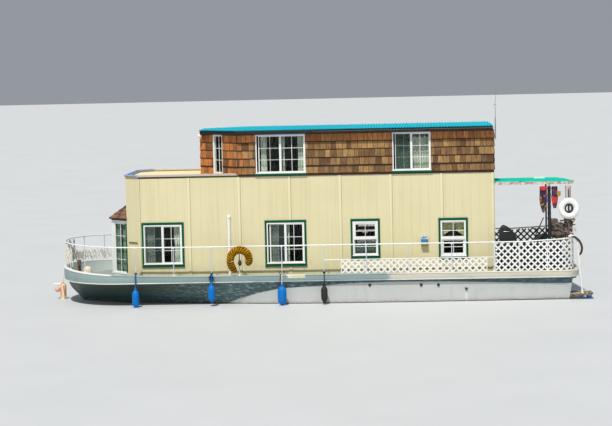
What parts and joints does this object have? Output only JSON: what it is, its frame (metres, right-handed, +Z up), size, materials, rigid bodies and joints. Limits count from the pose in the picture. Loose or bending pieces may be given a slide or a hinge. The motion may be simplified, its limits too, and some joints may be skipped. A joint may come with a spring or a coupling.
{
  "type": "houseboat",
  "caption": "Two-storey houseboat with a flared round-bow hull, battened lower cabin, shingled upper cabin, guard rails, lattice and a covered stern deck.",
  "frame": {"origin": "amidships on the centreline at the waterline", "axes": "+X aft towards the stern, -Y to port, +Z up"},
  "size_m": [13.196, 3.913, 5.8603],
  "materials": {
    "hull_paint": "weathered satin",
    "band_paint": "weathered satin",
    "shingles": "weathered",
    "cream_paint": "matte paint",
    "white_paint": "satin paint",
    "dark_paint": "matte paint",
    "buff_paint": "matte",
    "hung_cloth": "soft",
    "fascia_timber": "weathered",
    "roof_sheet": "satin",
    "green_paint": "satin paint",
    "curtain_cloth": "soft",
    "canopy_cloth": "matte",
    "fender_blue": "satin",
    "fender_dark": "matte",
    "ring_white": "matte",
    "buoy_cover": "weathered",
    "black_enamel": "matte",
    "stainless": "satin",
    "bronze": "satin"
  },
  "bodies": {
    "boat": {"antenna": "stainless", "bay_roof": "shingles", "bay_window": "white_paint", "bow_bitt": "fascia_timber", "bulwark": "band_paint", "canopy": "canopy_cloth", "canopy_frame": "fascia_timber", "curtains_lower_port": "curtain_cloth", "curtains_lower_starboard": "curtain_cloth", "curtains_upper_port": "curtain_cloth", "curtains_upper_starboard": "curtain_cloth", "deck_vent": "buff_paint", "fender_1": "fender_blue", "fender_2": "fender_blue", "fender_3": "fender_blue", "fender_4": "fender_dark", "fender_5": "buff_paint", "grill": "black_enamel", "horseshoe_buoy": "buoy_cover", "hull": "hull_paint", "hung_cloth": "hung_cloth", "life_ring": "ring_white", "lower_wall_aft": "cream_paint", "lower_wall_front": "cream_paint", "lower_wall_port": "cream_paint", "lower_wall_starboard": "cream_paint", "rail_bow": "white_paint", "rail_port": "white_paint", "rail_starboard": "white_paint", "roof_deck": "fascia_timber", "roof_sheet": "roof_sheet", "stern_handrail": "stainless", "stern_lattice_port": "white_paint", "stern_lattice_starboard": "dark_paint", "stowed_motor": "black_enamel", "swim_platform": "fascia_timber", "upper_floor": "white_paint", "upper_wall_aft": "shingles", "upper_wall_front": "shingles", "upper_wall_port": "shingles", "upper_wall_starboard": "shingles", "wall_box": "fender_blue", "window_facet_port": "white_paint", "window_facet_starboard": "white_paint", "window_lower_1_port": "white_paint", "window_lower_1_starboard": "white_paint", "window_lower_2_port": "white_paint", "window_lower_2_starboard": "white_paint", "window_lower_3_port": "white_paint", "window_lower_3_starboard": "white_paint", "window_lower_4_port": "white_paint", "window_lower_4_starboard": "white_paint", "window_upper_2_port": "white_paint", "window_upper_2_starboard": "white_paint", "window_upper_3_port": "white_paint", "window_upper_3_starboard": "white_paint", "window_upper_aft": "white_paint"},
    "door": {"aft_door": "green_paint"},
    "rudder": {"rudder": "bronze"},
    "propeller": {"propeller": "bronze"}
  },
  "joints": [
    {"name": "door_hinge", "type": "hinge", "parent": "boat", "child": "door", "pos_m": [4.298, 0.423, 1.5], "axis": [0, 0, 1], "range_deg": [0, 110]},
    {"name": "rudder_stock", "type": "hinge", "parent": "boat", "child": "rudder", "pos_m": [5.6, 0, -0.5], "axis": [0, 0, 1], "range_deg": [-35, 35]},
    {"name": "propeller_shaft", "type": "hinge", "parent": "boat", "child": "propeller", "pos_m": [5.35, 0, -0.52], "axis": [1, 0, 0], "continuous": true}
  ]
}
